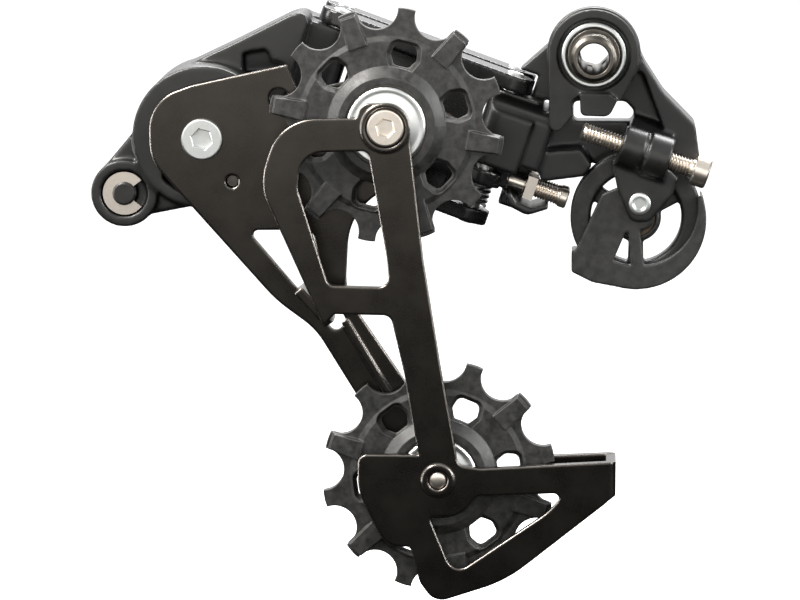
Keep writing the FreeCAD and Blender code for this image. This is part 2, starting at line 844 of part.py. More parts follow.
def add_stop_slot(sketch, x, z):
    """The curved slot that the cage's stop pin runs in, 76 degrees long from the rest position."""
    dx, dz = dim("stop_pin_x") - x, dim("stop_pin_z") - z
    radius = math.hypot(dx, dz)
    half = dim("stop_pin_r") + 0.1
    start = math.atan2(dz, dx)
    end = start - math.radians(76)
    middle = (start + end) / 2

    def place(angle, reach):
        return Vector(x + reach * math.cos(angle), z + reach * math.sin(angle), 0)

    def cap(angle, direction):
        centre = place(angle, radius)
        along = Vector(-math.sin(angle), math.cos(angle), 0) * direction * half
        return Part.Arc(place(angle, radius - half), centre + along, place(angle, radius + half))

    sketch.addGeometry(
        [
            Part.Arc(place(start, radius + half), place(middle, radius + half), place(end, radius + half)),
            Part.Arc(place(start, radius - half), place(middle, radius - half), place(end, radius - half)),
            cap(start, 1),
            cap(end, -1),
        ]
    )


def coil(label, radius, wire_r, pitch, turns, place):
    """A helical spring of round wire, about its own Z axis before it is placed."""
    helix = Part.makeHelix(pitch, pitch * turns, radius)
    start = Vector(radius, 0, 0)
    slope = Vector(0, 2 * math.pi * radius, pitch)
    profile = Part.Wire([Part.makeCircle(wire_r, start, slope)])
    shape = Part.Wire(helix.Edges).makePipeShell([profile], True, True)
    feature = plain_feature(label, shape)
    feature.Placement = place
    return feature


def knuckle_internals():
    """What the damper housing holds, and its cap."""
    x, z = dim("cage_x"), dim("cage_z")
    spring_place = Placement(Vector(x, 0.4, z), Rotation(Vector(1, 0, 0), -90))
    coil("cage_spring", 8.6, 0.95, 2.3, 2.6, spring_place)
    ring("clutch_bearing", x, z, at("axle_r", 0.05), 10.0, 8.0, 16.0)
    ring("friction_ring", x, z, 10.0, at("cavity_r"), 8.4, 15.6)
    ring("axle_seal", x, z, at("axle_r", 0.08), 9.6, at("wall_far"), -0.5)
    cap = new_body("damper_cap", x, 0, z)
    turn(
        cap,
        [
            (0, at("knuckle_far")),
            (at("housing_r", -0.3), at("knuckle_far")),
            (at("housing_r", -0.3), at("knuckle_far", 1.2)),
            (at("housing_r", -0.9), at("knuckle_far", 1.8)),
            (at("housing_r", -4.4), at("knuckle_far", 1.8)),
            (at("housing_r", -5.6), at("cap_far", -0.6)),
            (at("housing_r", -6.4), at("cap_far")),
            (at("housing_r", -10.0), at("cap_far")),
            (at("housing_r", -10.6), at("cap_far", -0.7)),
            (0, at("cap_far", -0.7)),
        ],
        "Cap",
    )
    screws = []
    for index in range(4):
        angle = math.radians(35 + 90 * index)
        place = Vector(x + 12.9 * math.cos(angle), dim("knuckle_far") + 1.8, z + 12.9 * math.sin(angle))
        head = Part.makeCylinder(1.6, 1.2, place, ALONG_Y)
        drive = Part.makeCylinder(0.75, 0.8, place + Vector(0, 0.6, 0), ALONG_Y)
        screws.append(head.cut(drive))
    plain_feature("damper_cap_screws", Part.makeCompound(screws))


def cage_lock_parts():
    """The push button that locks the cage forward, its clip and its spring."""
    x, z = dim("lock_x"), dim("lock_z")
    body = new_body("cage_lock_button", x, 0, z)
    turn(
        body,
        [
            (0, -4.9),
            (at("lock_r", -0.4), -4.9),
            (at("lock_r"), -4.6),
            (at("lock_r"), -4.3),
            (at("lock_r", -0.7), -4.3),
            (at("lock_r", -0.7), -3.3),
            (at("lock_r"), -3.3),
            (at("lock_r"), 8.2),
            (at("lock_r", 1.5), 8.2),
            (at("lock_r", 1.5), 11.2),
            (at("lock_r", 1.0), 11.8),
            (0, 11.8),
        ],
        "Button",
    )
    clip = new_body("e_clip", x, 0, z)
    sketch = side_sketch(clip, "Clip", -3.4)
    add_clip(sketch)
    pad(clip, sketch, 0.8, "ClipPad")
    place = Placement(Vector(x, 2.7, z), Rotation(Vector(1, 0, 0), -90))
    coil("lock_button_spring", 3.6, 0.35, 1.2, 3.4, place)


def add_clip(sketch):
    """An open ring with a narrow mouth that snaps over the groove, its opening to the rear."""
    outer, inner = 4.7, dim("lock_r") - 0.65
    mouth = math.radians(38)

    def place(radius, angle):
        return Vector(radius * math.cos(angle), radius * math.sin(angle), 0)

    sketch.addGeometry(
        [
            Part.Arc(place(outer, mouth), place(outer, math.pi), place(outer, -mouth)),
            Part.Arc(place(inner, mouth), place(inner, math.pi), place(inner, -mouth)),
            Part.LineSegment(place(outer, mouth), place(inner, mouth)),
            Part.LineSegment(place(outer, -mouth), place(inner, -mouth)),
        ]
    )


# ---------------------------------------------------------------- parallelogram


def link(label, y_rear, y_front, low, slab_half, offset=0.0):
    """A link: ears above and below the knuckles' barrels, joined by a slab that stops short of them."""
    body = new_body(label)
    rear = Vector(dim("q_rear"), y_rear, 0)
    front = Vector(dim("q_front"), y_front, 0)
    along = (front - rear).normalize()
    side = Vector(-along.y, along.x, 0)
    thick = dim("ear_thick")
    high = dim("top_ear_high")
    for name, base in (("Top", high - thick), ("Bottom", low)):
        ear = slanted_sketch(body, f"{name}Ear", base)
        reach = dim("ear_r")
        ear.addGeometry(
            [
                Part.LineSegment(rear + side * reach, front + side * reach),
                Part.Arc(front + side * reach, front + along * reach, front - side * reach),
                Part.LineSegment(front - side * reach, rear - side * reach),
                Part.Arc(rear - side * reach, rear - along * reach, rear + side * reach),
            ]
        )
        pad(body, ear, at("ear_thick"), f"{name}EarPad")
        if name == "Top":
            slab = slanted_sketch(body, "Slab", low)
            clear = dim("barrel_r") + 1.6
            points = []
            for end, sign in ((rear, 1), (front, -1)):
                for edge in (1, -1):
                    corner_point = end + along * clear * sign + side * (offset + slab_half * edge * sign)
                    points.append((corner_point.x, corner_point.y, 0.6))
            add_outline(slab, points)
            pad(body, slab, high - low, "SlabPad")
    bores = slanted_sketch(body, "Bores", (high + low) / 2)
    add_circle(bores, rear.x, rear.y, at("pin_r"))
    add_circle(bores, front.x, front.y, at("pin_r"))
    cut(body, bores, 60, "BoreCut", through=True)
    return body


def pin(label, q, y, low, high):
    """A pivot pin with chamfered ends, fixed in a link's ears."""
    body = new_body(label)
    slant = Rotation(ALONG_Y, dim("slant"))
    body.Placement = Placement(slanted_point(q, y, 0), slant)
    sketch = new_sketch(body, "Pin", "XZ_Plane")
    radius = at("pin_r")
    tip = at("pin_r", -0.4)
    closed_profile(
        sketch,
        [(0, low), (tip, low), (radius, low + 0.4), (radius, high - 0.4), (tip, high), (0, high)],
    )
    feature = body.newObject("PartDesign::Revolution", "Turned")
    feature.Profile = sketch
    feature.ReferenceAxis = (sketch, ["V_Axis"])
    feature.Angle = 360.0
    doc.recompute()
    return body


def parallelogram():
    """Both links, the four pins, the return spring and the cable anchor."""
    high = dim("top_ear_high")
    link("outer_link", dim("y_rear_outer"), dim("y_front_outer"), dim("outer_low"), 1.7, 1.6)
    link("inner_link", dim("y_rear_inner"), dim("y_front_inner"), dim("inner_low"), 1.8)
    for name, q, y, low in (
        ("rear_outer_pin", dim("q_rear"), dim("y_rear_outer"), dim("outer_low")),
        ("front_outer_pin", dim("q_front"), dim("y_front_outer"), dim("outer_low")),
        ("rear_inner_pin", dim("q_rear"), dim("y_rear_inner"), dim("inner_low")),
        ("front_inner_pin", dim("q_front"), dim("y_front_inner"), dim("inner_low")),
    ):
        pin(name, q, y, low - 0.5, high + 0.5)
    low = dim("outer_low") + dim("ear_thick")
    start = slanted_point(dim("q_rear"), dim("y_rear_outer"), low + 0.7)
    place = Placement(start, Rotation(ALONG_Y, dim("slant")))
    coil("return_spring", 3.0, 0.42, 1.15, 4.2, place)
    anchor_parts()


def anchor_parts():
    """The bolt and washer that clamp the cable on the inner link's face towards the wheel."""
    rear = Vector(dim("q_rear"), dim("y_rear_inner"), 0)
    front = Vector(dim("q_front"), dim("y_front_inner"), 0)
    along = (front - rear).normalize()
    spot = rear + along * 11.0
    origin = slanted_point(spot.x, spot.y, -27.0)
    slant = Rotation(ALONG_Y, dim("slant"))
    normal = slant.multVec(Vector(along.y, -along.x, 0))
    if normal.y > 0:
        normal = normal * -1
    turn_to = Rotation(Vector(0, -1, 0), normal)
    for label, points in (
        ("cable_clamp_washer", [(2.0, -1.8), (4.2, -1.8), (4.2, -3.0), (3.8, -3.3), (2.0, -3.3)]),
        (
            "cable_anchor_bolt",
            [(0, -1.8), (2.0, -1.8), (2.0, -3.3), (3.4, -3.3), (3.4, -5.4), (3.0, -5.8), (0, -5.8)],
        ),
    ):
        body = new_body(label)
        body.Placement = Placement(origin, turn_to)
        turn(body, points)


# ---------------------------------------------------------------- B-knuckle and mounting parts


def b_knuckle():
    """The rear knuckle that hangs from the mounting bolt."""
    body = new_body("b_knuckle")
    near, far = at("b_near"), at("b_far")
    turn(
        body,
        [
            (0, near),
            (at("b_barrel_r"), near),
            (at("b_barrel_r"), at("b_near", 4.0)),
            (at("b_barrel_r", -1.2), far),
            (0, far),
        ],
        "Barrel",
    )
    web = side_sketch(body, "Web", 18.0)
    add_outline(
        web,
        [
            (-18.6, -6.4, 1.5),
            (-8.4, 2.6),
            (8.4, 2.6),
            (10.4, -2.7),
            (19.0, -24.6, 2.0),
            (8.0, -27.4, 2.0),
            (-11.6, -21.4, 2.0),
            (-17.0, -20.4, 1.0),
        ],
    )
    pad(body, web, 6.6, "WebPad")
    fin = side_sketch(body, "Fin", 20.0)
    add_outline(
        fin,
        [
            (4.0, 6.0),
            (8.8, 2.6, 2.0),
            (11.3, -2.7, 6.0),
            (15.3, -8.9, 6.0),
            (22.3, -16.0, 2.5),
            (23.6, -25.4, 1.0),
            (18.4, -25.0, 0.5),
            (10.4, -3.6, 2.0),
            (4.0, -6.0),
        ],
    )
    pad(body, fin, 13.0, "FinPad")
    pivot_barrels(body)
    screw_bosses(body)
    guide_lugs(body)
    b_knuckle_cuts(body)
    return body


def pivot_barrels(body):
    """The two barrels that the links' rear pins turn in, and the wall that carries them."""
    for name, y, low in (("Inner", dim("y_rear_inner"), -30.6), ("Outer", dim("y_rear_outer"), -35.8)):
        barrel = slanted_sketch(body, f"{name}Barrel", low)
        stadium(barrel, dim("q_rear") + 7.0, dim("q_rear"), y, dim("barrel_r"))
        pad(body, barrel, -13.8 - low, f"{name}BarrelPad")
    wall = slanted_sketch(body, "InnerWall", -28.6)
    add_outline(wall, [(-9.0, 2.9, 1.0), (-3.0, 2.9, 1.0), (-3.0, 22.6, 1.0), (-9.0, 22.6, 1.0)])
    pad(body, wall, 14.8, "InnerWallPad")
    wall = slanted_sketch(body, "OuterWall", -39.4)
    add_outline(wall, [(-9.0, 15.4, 0.8), (-4.0, 15.4, 0.8), (-4.0, 22.6, 1.0), (-9.0, 22.6, 1.0)])
    pad(body, wall, 17.7, "OuterWallPad")


def screw_bosses(body):
    """The B-adjust screw's boss with its collar, and the cradle under the limit screws."""
    boss = across_sketch(body, "ScrewBoss", dim("b_screw_q"))
    add_circle(boss, dim("b_screw_y"), dim("b_screw_p"), at("b_boss_r"))
    pad(body, boss, 5.0, "ScrewBossPad")
    neck = across_sketch(body, "ScrewNeck", dim("b_screw_q") + 4.0)
    add_circle(neck, dim("b_screw_y"), dim("b_screw_p"), at("b_boss_r", -0.5))
    pad(body, neck, 2.4, "ScrewNeckPad")
    collar = across_sketch(body, "ScrewCollar", dim("b_screw_q") + 5.8)
    add_circle(collar, dim("b_screw_y"), dim("b_screw_p"), at("b_boss_r", 0.3))
    pad(body, collar, 5.2, "ScrewCollarPad")
    pillar = across_sketch(body, "Pillar", dim("b_screw_q") + 0.6)
    add_outline(pillar, [(3.0, -20.6), (13.0, -24.0), (13.0, -10.0), (3.0, -12.6)])
    pad(body, pillar, 9.8, "PillarPad")
    block = side_sketch(body, "LimitBlock", 16.0)
    add_outline(
        block,
        [
            (-12.6, -24.4, 1.0),
            (-9.8, -21.6, 0.6),
            (-2.6, -21.0, 0.6),
            (-0.2, -24.6, 0.6),
            (-2.0, -27.0, 0.6),
            (-11.2, -28.2, 0.8),
        ],
    )
    pad(body, block, 12.0, "LimitBlockPad")
    cradle = side_sketch(body, "Cradle", 17.0)
    add_outline(
        cradle,
        [
            (-19.2, -30.6, 0.4),
            (-18.6, -33.2, 1.5),
            (-14.4, -35.4, 2.5),
            (-9.6, -33.9, 0.5),
            (-9.9, -32.8, 0.4),
            (-13.4, -33.8, 1.0),
            (-16.6, -32.5, 1.0),
            (-17.9, -30.3, 0.4),
        ],
    )
    pad(body, cradle, 15.3, "CradlePad")


def guide_lugs(body):
    """The fork that carries the cable guide: a lug on each side of it."""
    points = [
        (3.9, -22.6, 1.0),
        (5.4, -29.6, 2.0),
        (8.2, -36.4, 2.2),
        (12.4, -36.4, 2.2),
        (17.2, -30.8, 2.0),
        (18.6, -26.8, 1.0),
        (12.0, -20.0, 1.0),
    ]
    for name, far in (("NearLug", 3.2), ("FarLug", 16.2)):
        lug = side_sketch(body, name, far)
        add_outline(lug, points)
        pad(body, lug, 3.4, f"{name}Pad")


def b_knuckle_cuts(body):
    """The bores and the window of the B-knuckle."""
    bores = side_sketch(body, "Bores", 0.0)
    add_circle(bores, 0, 0, at("bushing_r", 0.05))
    add_circle(bores, dim("guide_pin_x"), dim("guide_pin_z"), at("guide_pin_r"))
    add_circle(bores, -10.2, -11.9, 0.9)
    cut(body, bores, 60, "BoreCut", through=True)
    window = side_sketch(body, "Window", 0.0)
    add_outline(
        window,
        [(-4.4, -11.2, 1.0), (7.0, -11.2, 1.8), (9.0, -13.4, 1.6), (8.4, -15.6, 1.0), (-4.4, -15.6, 1.0)],
    )
    cut(body, window, 60, "WindowCut", through=True)
    for name, y, radius in (
        ("Inner", dim("y_rear_inner"), dim("pin_r") + dim("running_gap")),
        ("Outer", dim("y_rear_outer"), dim("pin_r") + dim("running_gap")),
    ):
        bore = slanted_sketch(body, f"{name}Bore", -28.0)
        add_circle(bore, dim("q_rear"), y, radius)
        cut(body, bore, 60, f"{name}BoreCut", through=True)
    screw = across_sketch(body, "ScrewBore", 15.0)
    add_circle(screw, dim("b_screw_y"), dim("b_screw_p"), at("b_screw_r", 0.05))
    cut(body, screw, 60, "ScrewBoreCut", through=True)
    circlip = side_sketch(body, "CirclipSeat", at("b_far", -2.4))
    add_circle(circlip, 0, 0, 8.1)
    cut(body, circlip, 12, "CirclipCut")
    wheel = side_sketch(body, "WheelRoom", at("wheel_near", -0.5))
    add_circle(wheel, dim("wheel_x"), dim("wheel_z"), at("wheel_r", 0.7))
    cut(body, wheel, 6.0, "WheelRoomCut")
    ear = slanted_sketch(body, "EarRoom", -9.2)
    add_outline(ear, [(-26.0, 11.0), (-9.6, 11.0), (-9.6, 24.2), (-26.0, 24.2)])
    cut(body, ear, 4.5, "EarRoomCut")


def mounting_parts():
    """The hollow mounting bolt, its bushing, circlip and the washer with the stop tab."""
    body = new_body("mounting_bolt")
    turn(
        body,
        [
            (at("mount_bolt_bore_r"), -8.6),
            (at("mount_bolt_r", -0.7), -8.6),
            (at("mount_bolt_r"), -7.9),
            (at("mount_bolt_r"), 0),
            (at("bushing_bore_r"), 0),
            (at("bushing_bore_r"), at("b_far", -1.4)),
            (7.8, at("b_far", -1.4)),
            (7.8, at("b_far", 0.4)),
            (7.2, at("b_far", 1.0)),
            (at("mount_bolt_bore_r"), at("b_far", 1.0)),
        ],
        "Bolt",
    )
    ring("mounting_bushing", 0, 0, at("bushing_bore_r"), at("bushing_r"), 0.0, at("b_far", -2.4))
    clip = new_body("mounting_circlip")
    sketch = side_sketch(clip, "Clip", at("b_far", -1.5))
    start, end = math.radians(-60), math.radians(240)
    curves = []
    for radius in (5.7, 7.9):
        angles = (start, (start + end) / 2, end)
        places = [Vector(radius * math.cos(a), radius * math.sin(a), 0) for a in angles]
        curves.append(Part.Arc(*places))
    for angle in (start, end):
        low = Vector(5.7 * math.cos(angle), 5.7 * math.sin(angle), 0)
        high = Vector(7.9 * math.cos(angle), 7.9 * math.sin(angle), 0)
        curves.append(Part.LineSegment(low, high))
    sketch.addGeometry(curves)
    pad(clip, sketch, 0.8, "ClipPad")
    mounting_washer()


def mounting_washer():
    """A drop-shaped plate with a long stop for the B-adjust screw and a bent tab for the hanger."""
    body = new_body("mounting_washer")
    plate = side_sketch(body, "Plate", at("washer_thick"))
    add_outline(
        plate,
        [
            (-9.8, 9.8, 9.6),
            (-9.6, -19.4, 1.6),
            (-4.4, -13.2, 0.6),
            (-4.7, -10.0, 1.2),
            (-3.0, -8.8, 0.8),
            (4.0, -8.8, 0.8),
            (5.4, -11.0, 1.0),
            (9.6, -2.6, 6.0),
            (10.0, 9.8, 9.6),
        ],
    )
    pad(body, plate, at("washer_thick"), "PlatePad")
    hole = side_sketch(body, "Hole", at("washer_thick"))
    add_circle(hole, 0, 0, at("bushing_r"))
    cut(body, hole, 8, "HoleCut", through=True)
    groove = side_sketch(body, "Groove", 0.0)
    add_circle(groove, 0, 0, at("bushing_r", 0.9))
    cut(body, groove, 1.0, "GrooveCut")
    tab = side_sketch(body, "Tab", 1.4)
    add_outline(tab, [(-3.0, -8.2), (-2.8, -13.0, 1.2), (3.4, -13.2, 2.0), (5.2, -9.6, 0.6), (3.6, -8.2)])
    pad(body, tab, 3.4, "TabPad")
    return body


def across_turned(label, q, y, p, points):
    """A turned part whose axis runs along q; its profile is (radius, distance forward of the head)."""
    body = new_body(label)
    rear = slanted_point(1, 0, 0) - slanted_point(0, 0, 0)
    body.Placement = Placement(slanted_point(q, y, p), Rotation(ALONG_Y, rear))
    turn(body, points)
    return body


def screws():
    """The B-adjust screw, the two limit screws and their trapped nuts."""
    radius = at("b_screw_r")
    across_turned(
        "b_adjust_screw",
        0,
        dim("b_screw_y"),
        dim("b_screw_p"),
        [
            (0, 2.9),
            (1.5, 2.9),
            (radius, 3.4),
            (radius, 28.6),
            (3.4, 28.6),
            (3.4, 31.6),
            (3.0, 32.0),
            (0, 32.0),
        ],
    )
    radius = at("limit_r")
    nuts = []
    for label, y in (("limit_screw_high", dim("limit_high_y")), ("limit_screw_low", dim("limit_low_y"))):
        across_turned(
            label,
            0,
            y,
            dim("limit_p"),
            [(0, -8.8), (1.5, -8.8), (1.5, -4.9), (radius, -4.9), (radius, 3.2), (2.5, 3.2), (2.5, 5.0), (0, 5.0)],
        )
        nuts.append(limit_nut(y))
    plain_feature("limit_nuts", Part.makeCompound(nuts))


def limit_nut(y):
    """A square nut round one limit screw."""
    size, thick = 5.0, 2.2
    block = Part.makeBox(thick, size, size, Vector(-4.6, y - size / 2, dim("limit_p") - size / 2))
    hole = Part.makeCylinder(dim("limit_r") + 0.05, 10, Vector(-8, y, dim("limit_p")), Vector(1, 0, 0))
    shape = block.cut(hole)
    shape.Placement = Placement(Vector(), Rotation(ALONG_Y, dim("slant")))
    return shape.copy()


# ---------------------------------------------------------------- cable pulley and guide


def cable_parts():
    """The cable pulley, its bush, the guide around it and the guide's pin."""
    x, z = dim("wheel_x"), dim("wheel_z")
    wheel = new_body("cable_pulley", x, 0, z)
    near, far = dim("wheel_near"), dim("wheel_far")
    middle = (near + far) / 2
    turn(
        wheel,
        [
            (at("journal_r", 0.9), near),
            (at("journal_r", 1.9), near),
            (at("journal_r", 1.9), near + 0.8),
            (at("wheel_r", -4.2), near + 0.8),
            (at("wheel_r", -4.2), near),
            (at("wheel_r"), near),
            (at("wheel_r"), near + 1.2),
            (at("wheel_r", -1.6), middle - 0.4),
            (at("wheel_r", -1.6), middle + 0.4),
            (at("wheel_r"), far - 1.2),
            (at("wheel_r"), far),
            (at("wheel_r", -4.2), far),
            (at("wheel_r", -4.2), far - 0.8),
            (at("journal_r", 1.9), far - 0.8),
            (at("journal_r", 1.9), far),
            (at("journal_r", 0.9), far),
        ],
        "Wheel",
    )
    window = side_sketch(wheel, "Window", 0.0)
    wheel_window(window)
    opening = cut(wheel, window, 40, "WindowCut", through=True)
    polar(wheel, [opening], window, 3, "Windows")
    ring("cable_pulley_bush", x, z, at("journal_r", 0.05), at("journal_r", 0.9), near, far)
    cable_guide(x, z)
    guide_pin = new_body("guide_pin", dim("guide_pin_x"), 0, dim("guide_pin_z"))
    turn(
        guide_pin,
        [
            (0.9, -1.0),
            (2.4, -1.0),
            (2.4, -0.2),
            (at("guide_pin_r"), -0.2),
            (at("guide_pin_r"), 5.4),
            (0.9, 5.4),
        ],
    )


def wheel_window(sketch):
    """The space between two of the cable pulley's three spokes."""
    low, high = math.radians(-80), math.radians(20)
    inner, outer = 5.5, 9.9
    middle = (low + high) / 2
    lean = math.radians(7)

    def place(radius, angle):
        return Vector(radius * math.cos(angle), radius * math.sin(angle), 0)

    sketch.addGeometry(
        [
            Part.Arc(place(outer, low), place(outer, middle), place(outer, high)),
            Part.Arc(place(inner, low + lean), place(inner, middle), place(inner, high - lean)),
            Part.LineSegment(place(outer, low), place(inner, low + lean)),
            Part.LineSegment(place(outer, high), place(inner, high - lean)),
        ]
    )


def cable_guide(x, z):
    """The guide: a face with a window, a shield round the lower half of the pulley and the housing socket."""
    body = new_body("cable_guide")
    near = at("guide_near")
    face = side_sketch(body, "Face", at("guide_near", 1.8))
    outer = 15.6
    shield_curves(face, x, z, outer, (10.5, 11.0, 14.0))
    pad(body, face, 1.8, "FacePad")
    panel = side_sketch(body, "Panel", at("guide_near", 1.8))
    add_outline(
        panel,
        [
            (5.4, -29.4, 1.2),
            (13.6, -29.4, 2.0),
            (13.4, -38.0, 2.0),
            (7.2, -39.2, 1.0),
            (4.2, -46.4),
            (6.6, -50.9),
            (6.6, -51.5),
            (0.0, -50.3, 5.0),
            (-4.6, -48.0, 0.8),
            (-4.6, -43.4, 0.4),
            (-3.7, -43.2, 0.6),
            (2.0, -30.8, 1.2),
        ],
    )
    pad(body, panel, 1.8, "PanelPad")
    spoke = side_sketch(body, "Spoke", at("guide_near", 1.8))
    add_outline(spoke, [(7.6, -37.0), (10.2, -37.0), (11.4, -47.8), (8.6, -47.8)])
    pad(body, spoke, 1.8, "SpokePad")
    shield = side_sketch(body, "Shield", at("guide_far"))
    reach = dim("wheel_r") + 0.4
    shield_curves(shield, x, z, outer, (reach, reach, reach))
    pad(body, shield, (8.8, "Sheet.guide_far - Sheet.guide_near"), "ShieldPad")
    socket = side_sketch(body, "Socket", at("guide_far"))
    add_outline(
        socket,
        [
            (-4.6, -43.4, 0.4),
            (-4.6, -48.0, 0.8),
            (0.0, -50.3, 5.0),
            (6.6, -51.5),
            (6.6, -50.95),
            (3.0, -49.9),
            (-0.9, -47.2),
            (-3.1, -43.4),
        ],
    )
    pad(body, socket, (8.8, "Sheet.guide_far - Sheet.guide_near"), "SocketPad")
    journal = side_sketch(body, "Journal", at("wheel_far"))
    add_circle(journal, x, z, at("journal_r"))
    pad(body, journal, 6.6, "JournalPad")
    holes = side_sketch(body, "Holes", near)
    add_circle(holes, dim("guide_pin_x"), dim("guide_pin_z"), at("guide_pin_r"))
    cut(body, holes, 2.0, "HoleCut")
    for name, forward, radius, depth in (("Socket", -4.6, at("socket_r"), 1.2), ("Cable", -3.4, 0.8, 2.4)):
        bore = new_sketch(body, f"{name}Bore", "YZ_Plane", Placement(Vector(0, 0, forward), Rotation()))
        add_circle(bore, dim("socket_y"), dim("socket_z"), radius)
        cut(body, bore, depth, f"{name}BoreCut", inboard=True)
    return body


def shield_curves(sketch, x, z, outer, inner):
    """A crescent round the lower rear of the pulley; inner gives its inner radius at start, middle and end."""
    start, end = math.radians(-124), math.radians(20)
    middle = math.radians(-55)

    def place(radius, angle):
        return Vector(x + radius * math.cos(angle), z + radius * math.sin(angle), 0)

    first, between, last = place(inner[0], start), place(inner[1], middle), place(inner[2], end)
    tip = place(outer - 0.35, end)
    sketch.addGeometry(
        [
            Part.Arc(place(outer, start), place(outer - 0.05, middle), tip),
            Part.Arc(first, between, last),
            Part.LineSegment(place(outer, start), first),
            Part.LineSegment(tip, last),
        ]
    )


# ---------------------------------------------------------------- the whole derailleur


def build():
    """Makes every part."""
    pulley("upper_pulley", dim("upper_x"), dim("upper_z"), 20)
    pulley("lower_pulley", dim("lower_x"), dim("lower_z"), 12)
    bearing_and_covers("upper", dim("upper_x"), dim("upper_z"))
    bearing_and_covers("lower", dim("lower_x"), dim("lower_z"))
    pulley_hardware()
    inner_cage_plate()
    outer_cage_plate()
    cage_pivot_parts()
    p_knuckle()
    knuckle_internals()
    cage_lock_parts()
    parallelogram()
    b_knuckle()
    mounting_parts()
    screws()
    cable_parts()


def export():
    """Checks every object and shape, then writes one file per part."""
    doc.recompute()
    for item in doc.Objects:
        if "Invalid" in item.State or "Error" in item.State:
            raise RuntimeError(f"{item.Label} failed: {item.State}")
    os.makedirs("parts", exist_ok=True)
    for item in PARTS:
        shape = item.Shape
        if shape.isNull() or not shape.isValid() or not shape.Solids:
            raise RuntimeError(f"{item.Label} has no valid shape")
        shape.exportStep(f"parts/{item.Label}.step")
        print(item.Label, len(shape.Solids), round(shape.Volume, 1))


build()
export()
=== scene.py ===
import json
import math

import bmesh
import bpy
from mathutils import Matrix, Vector


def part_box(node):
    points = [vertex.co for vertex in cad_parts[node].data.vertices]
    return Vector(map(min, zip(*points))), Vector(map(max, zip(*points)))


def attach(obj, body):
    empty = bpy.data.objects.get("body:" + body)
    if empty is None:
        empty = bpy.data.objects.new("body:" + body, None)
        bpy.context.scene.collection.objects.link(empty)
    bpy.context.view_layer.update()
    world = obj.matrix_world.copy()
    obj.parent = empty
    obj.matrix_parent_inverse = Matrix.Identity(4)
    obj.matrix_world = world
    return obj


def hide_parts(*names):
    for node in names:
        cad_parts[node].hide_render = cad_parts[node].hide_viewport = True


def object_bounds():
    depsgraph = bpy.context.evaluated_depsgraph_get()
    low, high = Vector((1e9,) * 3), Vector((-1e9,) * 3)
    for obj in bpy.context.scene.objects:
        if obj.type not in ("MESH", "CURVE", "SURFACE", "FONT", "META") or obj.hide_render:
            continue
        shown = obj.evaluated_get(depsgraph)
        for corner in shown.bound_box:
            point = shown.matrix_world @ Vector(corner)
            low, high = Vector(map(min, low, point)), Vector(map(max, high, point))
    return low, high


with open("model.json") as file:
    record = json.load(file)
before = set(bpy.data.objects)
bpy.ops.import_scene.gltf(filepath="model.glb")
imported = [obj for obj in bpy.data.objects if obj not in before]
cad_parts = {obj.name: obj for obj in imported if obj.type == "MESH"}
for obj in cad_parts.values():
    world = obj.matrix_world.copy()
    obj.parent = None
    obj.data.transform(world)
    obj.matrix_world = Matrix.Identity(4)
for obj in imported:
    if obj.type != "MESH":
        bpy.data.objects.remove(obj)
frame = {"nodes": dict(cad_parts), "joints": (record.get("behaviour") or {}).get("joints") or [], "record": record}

CAD_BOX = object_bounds()
NODES = frame["nodes"]
SLOTS = {part["node"]: part["material_slot"] for part in frame["record"]["subparts"]}
JOINT_AXES = {joint["name"]: joint["axis"] for joint in frame["joints"]}
MM = 0.001
WHITE = (1.0, 1.0, 1.0)

# ---------------------------------------------------------------- camera, floor and light

CAMERA_AZIMUTH = math.radians(2.7)
CAMERA_ELEVATION = math.radians(8.9)
CAMERA_PLACE = Vector((0.784, -907.37, 88.32)) * MM
CAMERA_LENS = 189.0
CAMERA_SENSOR = 36.0
CAMERA_CLIP = (0.05, 50.0)

FLOOR_DROP = 0.09  # metres below the object
FLOOR_REACH = 12.0  # metres from its middle to each side
FLOOR_GREY = 0.92
FLOOR_ROUGHNESS = 0.9
FLOOR_GLOW = 0.75

# The sky's light on the object rises from the first strength to the second between these heights of a
# direction, from -1 straight down to 1 straight up.
SKY_HEIGHTS = (-0.25, 0.9)
SKY_STRENGTHS = (0.04, 0.8)

# name, place from the object's centre, direction (None: to the centre), width and height, watts, colour
LAMPS = (
    ("top_left", (-0.30, -0.22, 0.42), None, (0.30, 0.22), 7.0, (1.0, 0.97, 0.93)),
    ("top_back", (0.10, 0.35, 0.45), None, (0.6, 0.2), 7.0, WHITE),
    ("right", (0.55, -0.25, 0.22), None, (0.12, 0.45), 4.0, WHITE),
    ("left", (-0.6, -0.1, 0.05), None, (0.12, 0.5), 3.0, WHITE),
    ("back", (0.0, 0.5, 0.12), None, (0.9, 0.4), 1.2, WHITE),
    ("front", (0.0, -0.42, 0.108), (0.0, 1.0, 0.0), (1.1, 0.24), 1.25, (1.0, 0.98, 0.95)),
)


def new_object(name, data):
    """A new object, linked to the scene."""
    obj = bpy.data.objects.new(name, data)
    bpy.context.scene.collection.objects.link(obj)
    return obj


def aim(obj, direction):
    """Turns a camera or a lamp to look along a direction."""
    obj.rotation_euler = direction.to_track_quat("-Z", "Y").to_euler()


def camera():
    """The camera at the photograph's angle."""
    data = bpy.data.cameras.new("camera")
    data.lens = CAMERA_LENS
    data.sensor_width = CAMERA_SENSOR
    data.clip_start, data.clip_end = CAMERA_CLIP
    obj = new_object("camera", data)
    obj.location = CAMERA_PLACE
    flat = math.cos(CAMERA_ELEVATION)
    back = (math.sin(CAMERA_AZIMUTH) * flat, -math.cos(CAMERA_AZIMUTH) * flat, math.sin(CAMERA_ELEVATION))
    aim(obj, -Vector(back))
    bpy.context.scene.camera = obj


